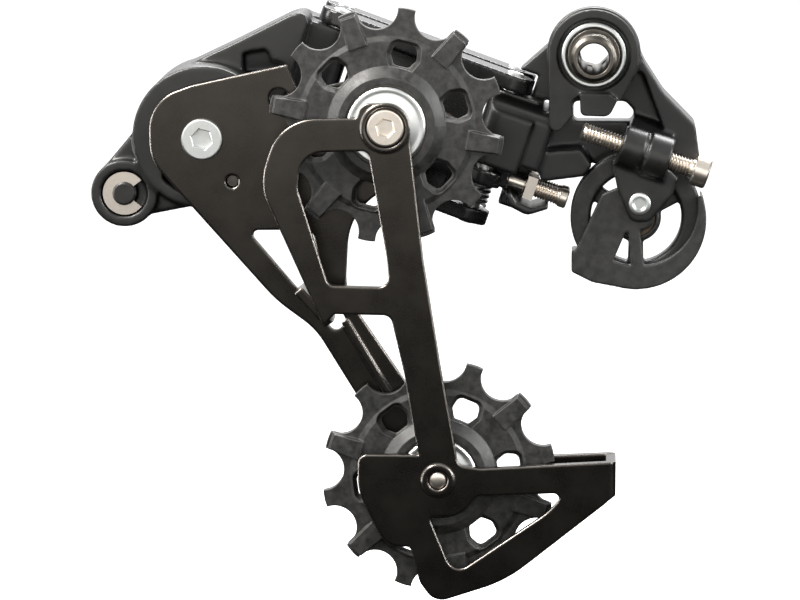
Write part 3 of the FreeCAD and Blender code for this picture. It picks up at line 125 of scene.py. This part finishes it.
def lamp(name, place, direction, size, power, colour):
    """A soft rectangular lamp, which the camera doesn't see."""
    data = bpy.data.lights.new(name, "AREA")
    data.shape = "RECTANGLE"
    data.size, data.size_y = size
    data.energy = power
    data.color = colour
    obj = new_object(name, data)
    obj.visible_camera = False
    obj.location = place
    aim(obj, direction)


def paper_floor():
    """A pale, softly glowing paper floor, which neither shows in the object's gloss nor lights the object."""
    low = CAD_BOX[0].z - FLOOR_DROP
    reach = FLOOR_REACH
    mesh = bpy.data.meshes.new("floor")
    corners = [(-reach, -reach, low), (reach, -reach, low), (reach, reach, low), (-reach, reach, low)]
    mesh.from_pydata(corners, [], [(0, 1, 2, 3)])
    floor = new_object("floor", mesh)
    paper = bpy.data.materials.new("floor_paper")
    paper.use_nodes = True
    shader = paper.node_tree.nodes["Principled BSDF"]
    shader.inputs["Base Color"].default_value = (FLOOR_GREY, FLOOR_GREY, FLOOR_GREY, 1.0)
    shader.inputs["Roughness"].default_value = FLOOR_ROUGHNESS
    shader.inputs["Emission Color"].default_value = (*WHITE, 1.0)
    shader.inputs["Emission Strength"].default_value = FLOOR_GLOW
    mesh.materials.append(paper)
    floor.visible_glossy = False
    floor.visible_diffuse = False


def sky():
    """A white backdrop to the camera; to the object, a bright ceiling over a dark lower half."""
    world = bpy.data.worlds.new("sky")
    world.use_nodes = True
    tree = world.node_tree
    seen = tree.nodes["Background"]
    seen.inputs["Color"].default_value = (*WHITE, 1.0)
    lighting = tree.nodes.new("ShaderNodeBackground")
    direction = tree.nodes.new("ShaderNodeTexCoord")
    split = tree.nodes.new("ShaderNodeSeparateXYZ")
    height = tree.nodes.new("ShaderNodeMapRange")
    height.inputs["From Min"].default_value, height.inputs["From Max"].default_value = SKY_HEIGHTS
    height.inputs["To Min"].default_value, height.inputs["To Max"].default_value = SKY_STRENGTHS
    tree.links.new(direction.outputs["Generated"], split.inputs["Vector"])
    tree.links.new(split.outputs["Z"], height.inputs["Value"])
    tree.links.new(height.outputs["Result"], lighting.inputs["Strength"])
    rays = tree.nodes.new("ShaderNodeLightPath")
    choose = tree.nodes.new("ShaderNodeMixShader")
    tree.links.new(rays.outputs["Is Camera Ray"], choose.inputs["Fac"])
    tree.links.new(lighting.outputs["Background"], choose.inputs[1])
    tree.links.new(seen.outputs["Background"], choose.inputs[2])
    tree.links.new(choose.outputs["Shader"], tree.nodes["World Output"].inputs["Surface"])
    bpy.context.scene.world = world


def studio():
    """A pale floor, the sky and soft lamps."""
    centre = (CAD_BOX[0] + CAD_BOX[1]) / 2
    paper_floor()
    sky()
    for name, offset, direction, size, power, colour in LAMPS:
        place = centre + Vector(offset)
        target = centre if direction is None else place + Vector(direction)
        lamp(name, place, target - place, size, power, colour)
    bpy.context.scene.view_settings.view_transform = "Standard"


# ---------------------------------------------------------------- materials

# detail and roughness of the noise that makes each
PATCH_NOISE = (5.0, 0.6)
GRAIN_NOISE = (3.0, 0.6)
EDGE_PATCH_NOISE = (4.0, 0.55)

MOTTLE_RANGE = (0.35, 0.65)  # of the patches, from the first colour to the second
PATCH_SHARE, GRAIN_SHARE = 0.6, 0.4  # in how rough a place is
ROUGH_RANGE = (0.3, 0.7)  # of their sum, from the lowest roughness to the highest
GRAIN_STRENGTH = 0.6

BEVEL_SAMPLES = 8
# Lighter edges, partly wear and partly painted highlight: full where the rounded normal turns this far from the
# true one, none past the second cosine, broken into patches by noise.
FULL_EDGE_COSINE, NO_EDGE_COSINE = 0.82, 0.99  # between the rounded and the true normal
EDGE_PATCH_SIZE = 1.3 * MM
EDGE_PATCH_RANGE = (0.3, 0.6)  # of its noise, from the faintest edge colour to the strongest
EDGE_PATCH_STRENGTH = (0.65, 1.0)


class Nodes:
    """A short hand for building a material's node tree."""

    def __init__(self, name):
        self.material = bpy.data.materials.new(name)
        self.material.use_nodes = True
        self.tree = self.material.node_tree
        self.shader = self.tree.nodes["Principled BSDF"]
        self.place = self.tree.nodes.new("ShaderNodeTexCoord").outputs["Object"]

    def link(self, source, target):
        """Joins an output to an input."""
        self.tree.links.new(source, target)

    def noise(self, size, detail, rough):
        """Noise whose blotches are about this many metres across."""
        node = self.tree.nodes.new("ShaderNodeTexNoise")
        node.inputs["Scale"].default_value = 1.0 / size
        node.inputs["Detail"].default_value = detail
        node.inputs["Roughness"].default_value = rough
        self.link(self.place, node.inputs["Vector"])
        return node.outputs["Fac"]

    def ramp(self, source, low, high, first, second):
        """first below low, second above high, as numbers."""
        node = self.tree.nodes.new("ShaderNodeMapRange")
        node.clamp = True
        node.inputs["From Min"].default_value = low
        node.inputs["From Max"].default_value = high
        node.inputs["To Min"].default_value = first
        node.inputs["To Max"].default_value = second
        self.link(source, node.inputs["Value"])
        return node.outputs["Result"]

    def maths(self, operation, *terms):
        """A sum or product of sources and numbers."""
        node = self.tree.nodes.new("ShaderNodeMath")
        node.operation = operation
        for entry, term in zip(node.inputs, terms):
            if isinstance(term, (int, float)):
                entry.default_value = term
            else:
                self.link(term, entry)
        return node.outputs[0]

    def blend(self, factor, first, second):
        """A mix of two colours or colour sources."""
        node = self.tree.nodes.new("ShaderNodeMix")
        node.data_type = "RGBA"
        self.link(factor, node.inputs["Factor"])
        for entry, colour in ((node.inputs["A"], first), (node.inputs["B"], second)):
            if isinstance(colour, tuple):
                entry.default_value = (*colour, 1.0)
            else:
                self.link(colour, entry)
        return node.outputs["Result"]

    def edges(self, radius):
        """A mask for lighter edges, partly wear and partly painted highlight, from 1 on sharp edges to 0 away from
        them, and the normal with its edges rounded.
        """
        bevel = self.tree.nodes.new("ShaderNodeBevel")
        bevel.samples = BEVEL_SAMPLES
        bevel.inputs["Radius"].default_value = radius
        true = self.tree.nodes.new("ShaderNodeNewGeometry")
        dot = self.tree.nodes.new("ShaderNodeVectorMath")
        dot.operation = "DOT_PRODUCT"
        self.link(bevel.outputs["Normal"], dot.inputs[0])
        self.link(true.outputs["Normal"], dot.inputs[1])
        wear_and_highlight_mask = self.ramp(dot.outputs["Value"], FULL_EDGE_COSINE, NO_EDGE_COSINE, 1.0, 0.0)
        return wear_and_highlight_mask, bevel.outputs["Normal"]

    def bump(self, height, strength, distance, normal=None):
        """Relief from a height source, on top of a normal where one is given."""
        node = self.tree.nodes.new("ShaderNodeBump")
        node.inputs["Strength"].default_value = strength
        node.inputs["Distance"].default_value = distance
        self.link(height, node.inputs["Height"])
        if normal is not None:
            self.link(normal, node.inputs["Normal"])
        self.link(node.outputs["Normal"], self.shader.inputs["Normal"])


def finish(name, colour, other, metallic, rough, blotch, grain, depth, edge_wear_and_highlight=None, reach=0.0):
    """A finish with two mottled colours, uneven roughness, fine grain and, where an edge colour is given, lighter
    edges.

    blotch and grain are how large its patches and its grain are, and depth is how deep the grain is. The edge
    colour is partly wear and partly painted highlight, and reach is the radius of its edges. All four sizes are in
    millimetres.
    """
    nodes = Nodes(name)
    patches = nodes.noise(blotch * MM, *PATCH_NOISE)
    mottled = nodes.blend(nodes.ramp(patches, *MOTTLE_RANGE, 0.0, 1.0), colour, other)
    fine = nodes.noise(grain * MM, *GRAIN_NOISE)
    spread = nodes.maths("MULTIPLY_ADD", patches, PATCH_SHARE, nodes.maths("MULTIPLY", fine, GRAIN_SHARE))
    roughness = nodes.ramp(spread, *ROUGH_RANGE, *rough)
    rounded = None
    if edge_wear_and_highlight is not None:
        wear_and_highlight_mask, rounded = nodes.edges(reach * MM)
        # edges blended towards the edge colour, which is partly wear and partly painted highlight
        edge_patches = nodes.ramp(nodes.noise(EDGE_PATCH_SIZE, *EDGE_PATCH_NOISE), *EDGE_PATCH_RANGE, *EDGE_PATCH_STRENGTH)
        mottled = nodes.blend(nodes.maths("MULTIPLY", wear_and_highlight_mask, edge_patches), mottled, edge_wear_and_highlight)
    nodes.link(mottled, nodes.shader.inputs["Base Color"])
    nodes.link(roughness, nodes.shader.inputs["Roughness"])
    nodes.shader.inputs["Metallic"].default_value = metallic
    nodes.bump(fine, GRAIN_STRENGTH, depth * MM, rounded)
    return nodes.material


def make_finishes():
    """Every finish, by the record's material slot."""
    # Each edge colour below is partly wear and partly a painted highlight on the edges.
    return {
        "cage_plate": finish(
            "anodised_plate", (0.050, 0.046, 0.041), (0.062, 0.057, 0.050),
            metallic=1.0, rough=(0.24, 0.34), blotch=9, grain=0.22, depth=0.001,
            edge_wear_and_highlight=(0.24, 0.22, 0.205), reach=0.75,
        ),
        "knuckle": finish(
            "satin_knuckle", (0.006, 0.006, 0.006), (0.010, 0.010, 0.0095),
            metallic=0.0, rough=(0.30, 0.42), blotch=5, grain=0.3, depth=0.02,
            edge_wear_and_highlight=(0.06, 0.06, 0.058), reach=0.5,
        ),
        "gloss_link": finish(
            "gloss_link", (0.005, 0.005, 0.005), (0.008, 0.008, 0.008),
            metallic=0.0, rough=(0.20, 0.32), blotch=6, grain=0.4, depth=0.004,
            edge_wear_and_highlight=(0.04, 0.04, 0.04), reach=0.4,
        ),
        "black_steel": finish(
            "black_steel", (0.012, 0.012, 0.0115), (0.018, 0.018, 0.017),
            metallic=0.3, rough=(0.34, 0.46), blotch=4, grain=0.25, depth=0.006,
            edge_wear_and_highlight=(0.11, 0.105, 0.10), reach=0.25,
        ),
        "pulley_plastic": finish(
            "glass_filled_plastic", (0.009, 0.009, 0.0085), (0.030, 0.0295, 0.028),
            metallic=0.0, rough=(0.30, 0.62), blotch=1.6, grain=0.3, depth=0.05,
            edge_wear_and_highlight=(0.075, 0.073, 0.07), reach=0.35,
        ),
        "guide_plastic": finish(
            "moulded_plastic", (0.014, 0.014, 0.0135), (0.028, 0.028, 0.027),
            metallic=0.0, rough=(0.34, 0.5), blotch=2, grain=0.25, depth=0.02,
            edge_wear_and_highlight=(0.09, 0.09, 0.088), reach=0.45,
        ),
        "bright_steel": finish(
            "bright_zinc", (0.74, 0.76, 0.75), (0.66, 0.68, 0.67),
            metallic=1.0, rough=(0.28, 0.40), blotch=2, grain=0.2, depth=0.002,
        ),
        "champagne_steel": finish(
            "warm_nickel", (0.80, 0.74, 0.66), (0.70, 0.64, 0.57),
            metallic=1.0, rough=(0.26, 0.38), blotch=2, grain=0.2, depth=0.002,
        ),
        "dark_steel": finish(
            "gunmetal", (0.085, 0.078, 0.07), (0.13, 0.12, 0.105),
            metallic=1.0, rough=(0.28, 0.42), blotch=2, grain=0.2, depth=0.004,
            edge_wear_and_highlight=(0.30, 0.28, 0.25), reach=0.2,
        ),
        "spring_steel": finish(
            "spring_steel", (0.30, 0.30, 0.30), (0.40, 0.40, 0.40),
            metallic=1.0, rough=(0.25, 0.4), blotch=2, grain=0.2, depth=0.004,
        ),
        "bronze": finish(
            "sintered_bronze", (0.09, 0.07, 0.05), (0.13, 0.10, 0.07),
            metallic=1.0, rough=(0.35, 0.5), blotch=1, grain=0.15, depth=0.01,
        ),
        "seal_rubber": finish(
            "seal_rubber", (0.010, 0.010, 0.010), (0.016, 0.016, 0.016),
            metallic=0.0, rough=(0.6, 0.8), blotch=2, grain=0.2, depth=0.01,
        ),
    }


def dress_nodes():
    """Gives every CAD node the finish of its slot."""
    for name, obj in NODES.items():
        obj.data.materials.clear()
        obj.data.materials.append(FINISHES[SLOTS[name]])


# ---------------------------------------------------------------- cast, moulded and tumbled nodes

SMOOTH_FACTOR = 0.5

# node: the size of the even mesh in millimetres, and how many times it is smoothed
ROUNDED = {
    "p_knuckle": (0.38, 5),
    "b_knuckle": (0.32, 4),
    "outer_link": (0.32, 4),
    "inner_link": (0.32, 4),
    "damper_cap": (0.3, 3),
    "cable_guide": (0.28, 3),
    "cable_pulley": (0.28, 3),
    "mounting_washer": (0.25, 3),
}


def round_edges(name, size, times):
    """Rounds a node's edges as casting, moulding or tumbling does: an even mesh, then smoothing."""
    obj = NODES[name]
    even = obj.modifiers.new("even_mesh", "REMESH")
    even.mode = "VOXEL"
    even.voxel_size = size * MM
    even.use_smooth_shade = True
    soft = obj.modifiers.new("soft_edges", "SMOOTH")
    soft.factor = SMOOTH_FACTOR
    soft.iterations = times


# ---------------------------------------------------------------- turned pieces

ALONG_Y = (0, 1, 0)
AGAINST_Y = (0, -1, 0)
CREASE = math.radians(32)
THREAD_STEPS = 8  # sections for each turn of a thread
THREAD_SLOPE, THREAD_CREST = 1.25, 0.125  # how steep its flanks are, and how far its crest is cut off


class Shaft:
    """The axis of a turned node, and where it starts, read from the node's own vertices."""

    def __init__(self, node, axis):
        self.axis = Vector(axis).normalized()
        self.across = self.axis.orthogonal().normalized()
        self.third = self.axis.cross(self.across)
        points = [vertex.co for vertex in NODES[node].data.vertices]
        spans = []
        for direction in (self.across, self.third, self.axis):
            reach = [point.dot(direction) for point in points]
            spans.append((min(reach), max(reach)))
        middle = [(low + high) / 2 for low, high in spans]
        self.centre = self.across * middle[0] + self.third * middle[1]
        self.low = spans[2][0]

    def point(self, radius, angle, along):
        """A place at a radius and an angle round the axis, along it from its low end."""
        out = self.across * math.cos(angle) + self.third * math.sin(angle)
        return self.centre + out * radius * MM + self.axis * (self.low + along * MM)


def length_of(node):
    """A node's length along Y in millimetres."""
    low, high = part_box(node)
    return (high.y - low.y) / MM


# A section of a turned piece is a function of an angle round its axis. It gives a radius and a distance along
# the axis, in millimetres.


def hexagon(across_flats, angle):
    """The radius of a hexagon at an angle."""
    return across_flats / 2 / math.cos((angle % (math.pi / 3)) - math.pi / 6)


def plain(*places):
    """Round sections, each from a radius and a distance along the axis."""
    return [lambda angle, place=place: place for place in places]


def socket(*places):
    """Hexagonal sections, each from a width across flats and a distance along the axis."""
    return [lambda angle, width=width, along=along: (hexagon(width, angle), along) for width, along in places]


def thread(start, end, radius, pitch, depth):
    """The sections of a screw thread that fades in and out at its ends."""
    steps = max(int(abs(end - start) / pitch * THREAD_STEPS), THREAD_STEPS)

    def section(along):
        fade = min(1.0, abs(along - start) / pitch, abs(end - along) / pitch)

        def place(angle):
            phase = (along / pitch - angle / (2 * math.pi)) % 1.0
            groove = 1 - abs(2 * phase - 1)
            return radius - depth * max(0.0, groove * THREAD_SLOPE - THREAD_CREST) * fade, along

        return place

    return [section(start + (end - start) * step / steps) for step in range(steps + 1)]


def new_piece(name, vertices, faces):
    """A mesh object with outward normals, smooth but for its sharp edges."""
    mesh = bpy.data.meshes.new(name)
    mesh.from_pydata([tuple(vertex) for vertex in vertices], [], faces)
    form = bmesh.new()
    form.from_mesh(mesh)
    bmesh.ops.recalc_face_normals(form, faces=form.faces)
    form.to_mesh(mesh)
    form.free()
    mesh.shade_smooth()
    mesh.set_sharp_from_angle(angle=CREASE)
    return new_object(name, mesh)


def turned(name, node, body, axis, sections, segments, hollow=False):
    """A closed turned piece that stands for a node, in its finish and on its body.

    The sections run from end to end, or all the way round the wall of a hollow piece.
    """
    shaft = Shaft(node, axis)
    vertices = []
    for section in sections:
        for step in range(segments):
            angle = 2 * math.pi * step / segments
            radius, along = section(angle)
            vertices.append(shaft.point(radius, angle, along))
    faces = []
    for ring in range(len(sections) if hollow else len(sections) - 1):
        for step in range(segments):
            after = (step + 1) % segments
            here, above = ring * segments, (ring + 1) % len(sections) * segments
            faces.append((here + step, here + after, above + after, above + step))
    if not hollow:
        last = (len(sections) - 1) * segments
        faces.append(tuple(range(segments)))
        faces.append(tuple(range(last, last + segments)))
    piece = new_piece(name, vertices, faces)
    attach(piece, body)
    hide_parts(node)
    piece.data.materials.append(FINISHES[SLOTS[node]])


def adjusting_screws():
    """The B-adjust screw and the two limit screws."""
    turned(
        "adjust_screw",
        "b_adjust_screw",
        "b_screw",
        JOINT_AXES["b_screw_travel"],
        plain((1.35, 0.0))
        + thread(0.4, 25.3, radius=2.0, pitch=0.7, depth=0.36)
        + plain((2.0, 25.5), (2.0, 25.7), (3.2, 25.7), (3.4, 25.9), (3.4, 28.7), (3.1, 29.1), (1.95, 29.1))
        + socket((3.0, 28.9), (3.0, 26.9)),
        segments=60,
    )
    for side in ("high", "low"):
        turned(
            f"limit_screw_{side}_turned",
            f"limit_screw_{side}",
            f"limit_{side}",
            JOINT_AXES[f"limit_{side}_travel"],
            plain((1.2, 0.0), (1.5, 0.3), (1.5, 3.7))
            + thread(3.8, 11.9, radius=1.9, pitch=0.6, depth=0.3)
            + plain((1.8, 12.0), (1.95, 12.0), (2.1, 12.15), (2.1, 13.5), (1.85, 13.8), (1.35, 13.8))
            + socket((2.0, 13.65), (2.0, 12.6)),
            segments=48,
        )


def cage_fasteners():
    """The two pulley bolts and the screw of the cage's pivot."""
    turned(
        "upper_bolt",
        "upper_pulley_bolt",
        "cage",
        ALONG_Y,
        socket((3.3, 1.6), (3.3, 0.25), (3.8, 0.0), (3.9, 0.0))
        + plain((3.55, 0.0), (3.6, 0.0), (3.87, 0.1), (4.0, 0.35), (4.0, 1.5))
        + plain((2.5, 1.5), (2.5, 12.4), (2.2, 12.7)),
        segments=72,
    )
    turned(
        "lower_bolt",
        "lower_pulley_bolt",
        "cage",
        ALONG_Y,
        plain((0.3, 0.0), (0.8, 0.05), (1.3, 0.15), (1.7, 0.32), (1.95, 0.55), (2.1, 0.9), (2.1, 12.3))
        + plain((4.0, 12.3), (4.0, 13.3), (3.6, 13.7), (1.95, 13.7))
        + socket((3.0, 13.55), (3.0, 12.5)),
        segments=72,
    )
    turned(
        "pivot_screw",
        "cage_pivot_screw",
        "cage",
        ALONG_Y,
        socket((4.0, 2.4), (4.0, 0.25), (4.5, 0.0), (4.6, 0.0))
        + plain((4.05, 0.0), (4.1, 0.0), (4.35, 0.1), (4.5, 0.35), (4.5, 0.9))
        + plain((3.0, 0.9), (3.0, 10.6), (2.7, 10.9)),
        segments=84,
    )


def hanger_bolt():
    """The hollow bolt that holds the derailleur to its hanger."""
    length = length_of("mounting_bolt")
    flange = length - 2.4
    turned(
        "hanger_bolt",
        "mounting_bolt",
        "mount",
        ALONG_Y,
        plain((3.3, 0.4), (3.55, 0.0), (4.25, 0.0), (4.6, 0.3))
        + thread(0.6, 8.3, radius=5.0, pitch=1.0, depth=0.5)
        + plain((4.7, 8.45), (4.7, 8.6), (5.6, 8.6), (5.6, flange), (7.6, flange), (7.8, flange + 0.2))
        + plain((7.8, length - 0.6), (7.2, length), (3.3, length))
        + socket((6.0, length - 0.4), (6.0, length - 6.0))
        + plain((3.3, length - 6.4)),
        segments=96,
        hollow=True,
    )


def dust_covers():
    """The pressed covers on both sides of the two pulleys, each from its outer face inwards."""
    for pulley in ("upper", "lower"):
        for side, inwards in (("near", ALONG_Y), ("far", AGAINST_Y)):
            turned(
                f"{pulley}_{side}_dust_cover",
                f"{pulley}_{side}_cover",
                "cage",
                inwards,
                plain((3.0, 1.6), (3.0, 0.1), (3.15, 0.0), (4.4, 0.0), (4.6, 0.05), (6.6, 0.42), (7.0, 0.52))
                + plain((7.4, 0.52), (7.7, 0.42), (8.1, 0.46), (8.4, 0.7), (8.5, 1.0), (8.5, 1.6)),
                segments=96,
                hollow=True,
            )


def bushing_and_pin():
    """The bushing round the mounting bolt, and the pin that holds the cable guide to the B-knuckle."""
    length = length_of("mounting_bushing")
    turned(
        "pivot_bushing",
        "mounting_bushing",
        "mount",
        ALONG_Y,
        plain((5.6, 0.9), (6.15, 0.1), (6.25, 0.0), (6.7, 0.0), (7.0, 0.3))
        + plain((7.0, length - 0.2), (6.8, length), (5.6, length)),
        segments=96,
        hollow=True,
    )
    turned(
        "guide_pivot",
        "guide_pin",
        "b_knuckle",
        ALONG_Y,
        plain((1.1, 0.7), (1.45, 0.3), (1.65, 0.0), (2.15, 0.0), (2.35, 0.12), (2.4, 0.3), (2.4, 0.8))
        + plain((1.5, 0.8), (1.5, 6.3), (1.4, 6.4)),
        segments=48,
    )


camera()
studio()
FINISHES = make_finishes()
dress_nodes()
for node, (size, times) in ROUNDED.items():
    round_edges(node, size, times)
adjusting_screws()
cage_fasteners()
hanger_bolt()
dust_covers()
bushing_and_pin()
